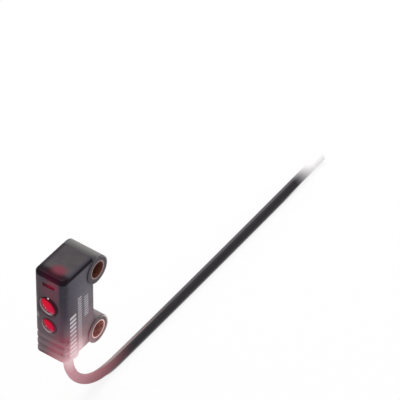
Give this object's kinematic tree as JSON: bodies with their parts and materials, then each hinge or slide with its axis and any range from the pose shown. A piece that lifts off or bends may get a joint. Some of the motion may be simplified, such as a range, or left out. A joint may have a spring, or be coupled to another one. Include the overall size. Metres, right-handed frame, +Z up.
{
  "type": "diffuse photoelectric sensor",
  "caption": "Sub-miniature diffuse photoelectric sensor: block housing with bushed mounting ears, front lenses, smoked indicator cover and a fixed cable.",
  "frame": {"origin": "midway between the two mounting holes' axes, in the middle of the width", "axes": "+Z up along the housing towards the indicator cover, -Y towards the target, X along the mounting holes"},
  "size_m": [0.008, 0.0964, 0.0416],
  "materials": {
    "housing": "fine moulded grain",
    "smoked_cover": "smoked, dull red above the indicator",
    "rubber": "smooth",
    "red_lens": "clear red, polished",
    "light_guide": "clear, lit red",
    "black_plastic": "matt black",
    "circuit_board": "green solder mask",
    "chip": "moulded",
    "led": "clear resin",
    "contacts": "tinned",
    "capacitor": "ceramic",
    "bushing": "satin, coppery in the bore",
    "gland": "soft moulded plastic",
    "cable_jacket": "smooth jacket",
    "wire_brown": "smooth",
    "wire_black": "smooth",
    "wire_blue": "smooth",
    "solder": "bright"
  },
  "bodies": {
    "root": {"housing": "housing", "top_cover": "smoked_cover", "cover_seal": "rubber", "receiver_lens": "red_lens", "emitter_lens": "red_lens", "light_guide": "light_guide", "optics_block": "black_plastic", "optics_board": "circuit_board", "receiver_chip": "chip", "emitter_led": "led", "indicator_led": "led", "main_board": "circuit_board", "board_pins": "contacts", "controller_chip": "chip", "power_capacitor": "capacitor", "output_transistors": "chip", "chip_capacitors": "capacitor", "chip_resistors": "chip", "upper_bushing": "bushing", "lower_bushing": "bushing", "cable_gland": "gland", "cable_inner_end": "cable_jacket", "cable_clamp": "contacts", "wire_brown": "wire_brown", "wire_black": "wire_black", "wire_blue": "wire_blue", "solder_joints": "solder", "cable": "cable_jacket"}
  },
  "joints": []
}
